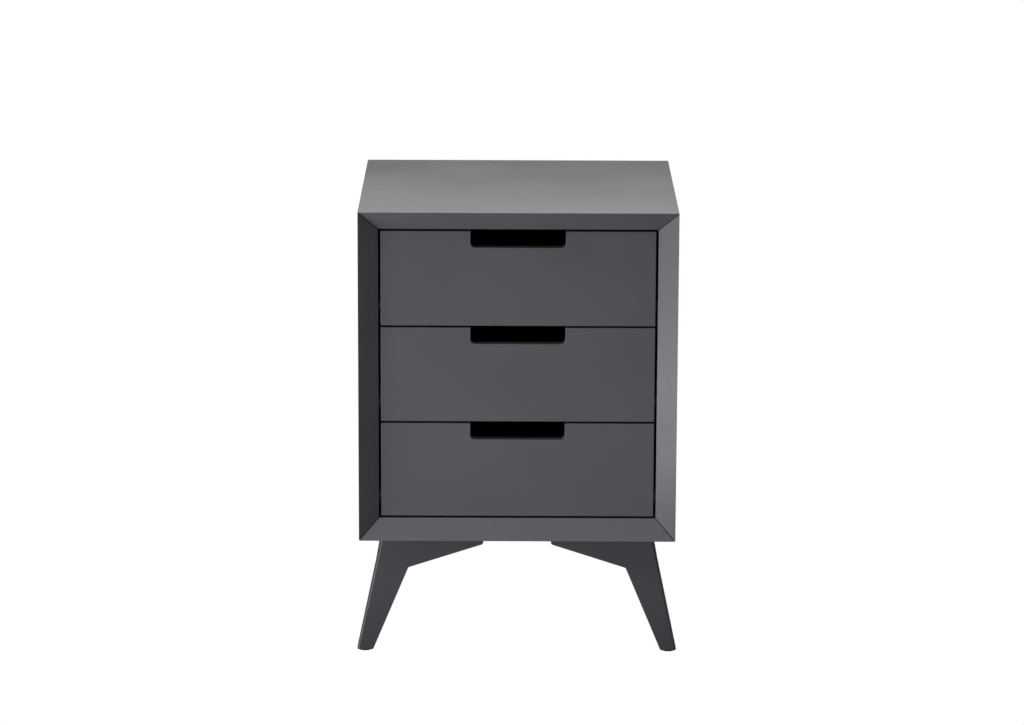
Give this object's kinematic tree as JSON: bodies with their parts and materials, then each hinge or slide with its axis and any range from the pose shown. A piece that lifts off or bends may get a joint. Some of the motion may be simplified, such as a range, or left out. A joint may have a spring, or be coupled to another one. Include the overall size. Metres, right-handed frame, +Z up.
{
  "type": "nightstand with drawers",
  "caption": "Small bedside cabinet with a mitred case, sloped front edges, drawers on roller runners with cut-out grips, and splayed corner legs.",
  "frame": {"origin": "on the floor, midway between the object's left and right extents and between its front and back extents", "axes": "+Z up, -Y towards the front, where the drawers open, +X to the right of someone who faces the front"},
  "size_m": [0.426, 0.4, 0.595],
  "materials": {
    "anthracite_lacquer": "satin lacquer on MDF",
    "drawer_board": "matt melamine-faced board",
    "back_board": "matt foil on hardboard",
    "beech": "turned and fluted, unfinished",
    "runner_steel": "epoxy powder coat",
    "roller_nylon": "moulded nylon",
    "zinc_steel": "bright zinc plating",
    "pad_felt": "pressed felt"
  },
  "bodies": {
    "case": {"top_panel": "anthracite_lacquer", "bottom_panel": "anthracite_lacquer", "left_side_panel": "anthracite_lacquer", "right_side_panel": "anthracite_lacquer", "front_left_leg": "anthracite_lacquer", "front_right_leg": "anthracite_lacquer", "rear_left_leg": "anthracite_lacquer", "rear_right_leg": "anthracite_lacquer", "back_panel": "back_board", "case_dowels": "beech", "foot_pads": "pad_felt", "back_panel_screws": "zinc_steel", "leg_screws": "zinc_steel", "case_rail_screws": "zinc_steel", "case_roller_axles": "zinc_steel", "lower_left_case_rail": "runner_steel", "lower_right_case_rail": "runner_steel", "middle_left_case_rail": "runner_steel", "middle_right_case_rail": "runner_steel", "upper_left_case_rail": "runner_steel", "upper_right_case_rail": "runner_steel"},
    "lower_drawer": {"lower_drawer_front": "anthracite_lacquer", "lower_drawer_left_side": "drawer_board", "lower_drawer_right_side": "drawer_board", "lower_drawer_back": "drawer_board", "lower_drawer_bottom": "drawer_board", "lower_left_drawer_rail": "runner_steel", "lower_right_drawer_rail": "runner_steel", "lower_drawer_roller_axles": "zinc_steel", "lower_drawer_screws": "zinc_steel"},
    "lower_left_case_roller": {"lower_left_case_roller": "roller_nylon"},
    "lower_left_drawer_roller": {"lower_left_drawer_roller": "roller_nylon"},
    "lower_right_case_roller": {"lower_right_case_roller": "roller_nylon"},
    "lower_right_drawer_roller": {"lower_right_drawer_roller": "roller_nylon"},
    "middle_drawer": {"middle_drawer_front": "anthracite_lacquer", "middle_drawer_left_side": "drawer_board", "middle_drawer_right_side": "drawer_board", "middle_drawer_back": "drawer_board", "middle_drawer_bottom": "drawer_board", "middle_left_drawer_rail": "runner_steel", "middle_right_drawer_rail": "runner_steel", "middle_drawer_roller_axles": "zinc_steel", "middle_drawer_screws": "zinc_steel"},
    "middle_left_case_roller": {"middle_left_case_roller": "roller_nylon"},
    "middle_left_drawer_roller": {"middle_left_drawer_roller": "roller_nylon"},
    "middle_right_case_roller": {"middle_right_case_roller": "roller_nylon"},
    "middle_right_drawer_roller": {"middle_right_drawer_roller": "roller_nylon"},
    "upper_drawer": {"upper_drawer_front": "anthracite_lacquer", "upper_drawer_left_side": "drawer_board", "upper_drawer_right_side": "drawer_board", "upper_drawer_back": "drawer_board", "upper_drawer_bottom": "drawer_board", "upper_left_drawer_rail": "runner_steel", "upper_right_drawer_rail": "runner_steel", "upper_drawer_roller_axles": "zinc_steel", "upper_drawer_screws": "zinc_steel"},
    "upper_left_case_roller": {"upper_left_case_roller": "roller_nylon"},
    "upper_left_drawer_roller": {"upper_left_drawer_roller": "roller_nylon"},
    "upper_right_case_roller": {"upper_right_case_roller": "roller_nylon"},
    "upper_right_drawer_roller": {"upper_right_drawer_roller": "roller_nylon"}
  },
  "joints": [
    {"name": "lower_drawer_slide", "type": "slide", "parent": "case", "child": "lower_drawer", "axis": [0, -1, 0], "range_m": [0, 0.26]},
    {"name": "lower_left_case_roller_spin", "type": "hinge", "parent": "case", "child": "lower_left_case_roller", "pos_m": [-0.1785, -0.1475, 0.2022], "axis": [1, 0, 0], "continuous": true},
    {"name": "lower_left_drawer_roller_spin", "type": "hinge", "parent": "lower_drawer", "child": "lower_left_drawer_roller", "pos_m": [-0.177, 0.1775, 0.20275], "axis": [1, 0, 0], "continuous": true},
    {"name": "lower_right_case_roller_spin", "type": "hinge", "parent": "case", "child": "lower_right_case_roller", "pos_m": [0.1785, -0.1475, 0.2022], "axis": [1, 0, 0], "continuous": true},
    {"name": "lower_right_drawer_roller_spin", "type": "hinge", "parent": "lower_drawer", "child": "lower_right_drawer_roller", "pos_m": [0.177, 0.1775, 0.20275], "axis": [1, 0, 0], "continuous": true},
    {"name": "middle_drawer_slide", "type": "slide", "parent": "case", "child": "middle_drawer", "axis": [0, -1, 0], "range_m": [0, 0.26]},
    {"name": "middle_left_case_roller_spin", "type": "hinge", "parent": "case", "child": "middle_left_case_roller", "pos_m": [-0.1785, -0.1475, 0.3317], "axis": [1, 0, 0], "continuous": true},
    {"name": "middle_left_drawer_roller_spin", "type": "hinge", "parent": "middle_drawer", "child": "middle_left_drawer_roller", "pos_m": [-0.177, 0.1775, 0.33225], "axis": [1, 0, 0], "continuous": true},
    {"name": "middle_right_case_roller_spin", "type": "hinge", "parent": "case", "child": "middle_right_case_roller", "pos_m": [0.1785, -0.1475, 0.3317], "axis": [1, 0, 0], "continuous": true},
    {"name": "middle_right_drawer_roller_spin", "type": "hinge", "parent": "middle_drawer", "child": "middle_right_drawer_roller", "pos_m": [0.177, 0.1775, 0.33225], "axis": [1, 0, 0], "continuous": true},
    {"name": "upper_drawer_slide", "type": "slide", "parent": "case", "child": "upper_drawer", "axis": [0, -1, 0], "range_m": [0, 0.26]},
    {"name": "upper_left_case_roller_spin", "type": "hinge", "parent": "case", "child": "upper_left_case_roller", "pos_m": [-0.1785, -0.1475, 0.4612], "axis": [1, 0, 0], "continuous": true},
    {"name": "upper_left_drawer_roller_spin", "type": "hinge", "parent": "upper_drawer", "child": "upper_left_drawer_roller", "pos_m": [-0.177, 0.1775, 0.46175], "axis": [1, 0, 0], "continuous": true},
    {"name": "upper_right_case_roller_spin", "type": "hinge", "parent": "case", "child": "upper_right_case_roller", "pos_m": [0.1785, -0.1475, 0.4612], "axis": [1, 0, 0], "continuous": true},
    {"name": "upper_right_drawer_roller_spin", "type": "hinge", "parent": "upper_drawer", "child": "upper_right_drawer_roller", "pos_m": [0.177, 0.1775, 0.46175], "axis": [1, 0, 0], "continuous": true}
  ],
  "couplings": [
    {"joint": "lower_left_case_roller_spin", "follows": "lower_drawer_slide", "rad_per_m": 142.86},
    {"joint": "lower_left_drawer_roller_spin", "follows": "lower_drawer_slide", "rad_per_m": 125},
    {"joint": "lower_right_case_roller_spin", "follows": "lower_drawer_slide", "rad_per_m": 142.86},
    {"joint": "lower_right_drawer_roller_spin", "follows": "lower_drawer_slide", "rad_per_m": 125},
    {"joint": "middle_left_case_roller_spin", "follows": "middle_drawer_slide", "rad_per_m": 142.86},
    {"joint": "middle_left_drawer_roller_spin", "follows": "middle_drawer_slide", "rad_per_m": 125},
    {"joint": "middle_right_case_roller_spin", "follows": "middle_drawer_slide", "rad_per_m": 142.86},
    {"joint": "middle_right_drawer_roller_spin", "follows": "middle_drawer_slide", "rad_per_m": 125},
    {"joint": "upper_left_case_roller_spin", "follows": "upper_drawer_slide", "rad_per_m": 142.86},
    {"joint": "upper_left_drawer_roller_spin", "follows": "upper_drawer_slide", "rad_per_m": 125},
    {"joint": "upper_right_case_roller_spin", "follows": "upper_drawer_slide", "rad_per_m": 142.86},
    {"joint": "upper_right_drawer_roller_spin", "follows": "upper_drawer_slide", "rad_per_m": 125}
  ]
}
